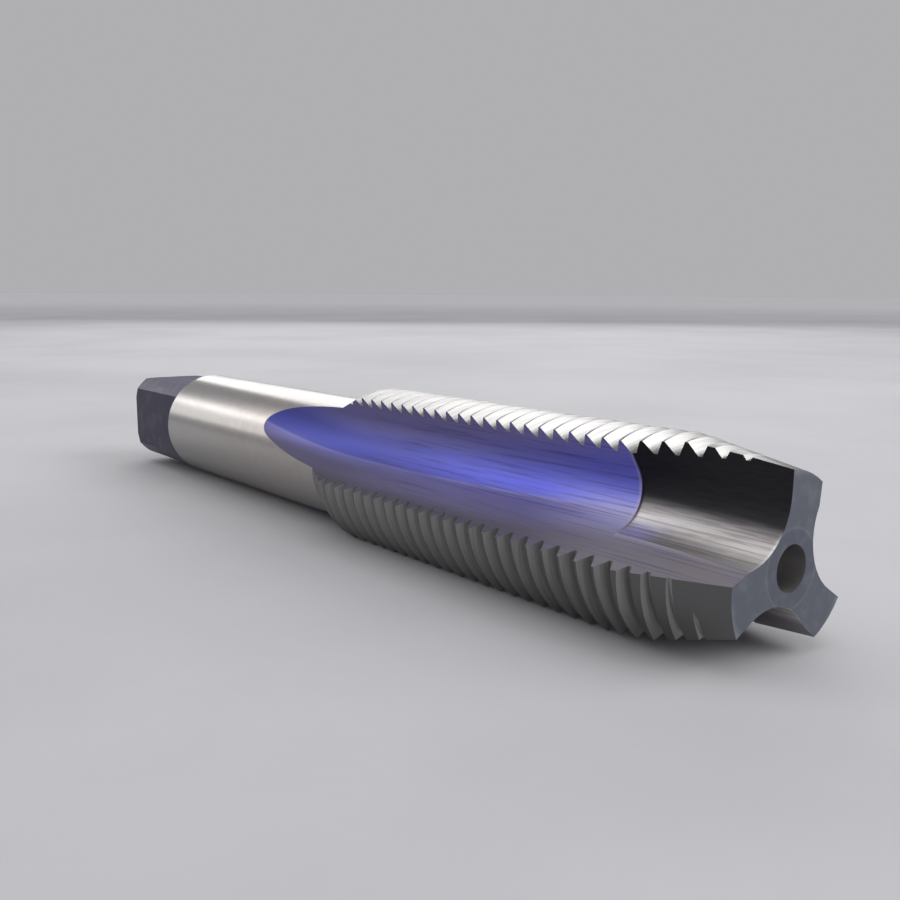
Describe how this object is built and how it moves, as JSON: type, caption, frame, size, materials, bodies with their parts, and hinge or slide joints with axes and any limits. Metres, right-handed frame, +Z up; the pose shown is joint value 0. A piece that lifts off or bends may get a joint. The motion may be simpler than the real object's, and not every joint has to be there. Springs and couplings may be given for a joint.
{
  "type": "thread tap",
  "caption": "Spiral-point machine tap with straight flutes, a chamfered lead, a round shank and a square drive end.",
  "frame": {"origin": "on the surface that the tap lies on, under the middle of its axis, half way along its length", "axes": "+X along the tap's axis from the square end towards the cutting nose, +Z up"},
  "size_m": [0.09, 0.014, 0.0127],
  "materials": {
    "steel": "ground high-speed steel, blued in the flutes"
  },
  "bodies": {
    "root": {"thread_tap": "steel"}
  },
  "joints": []
}
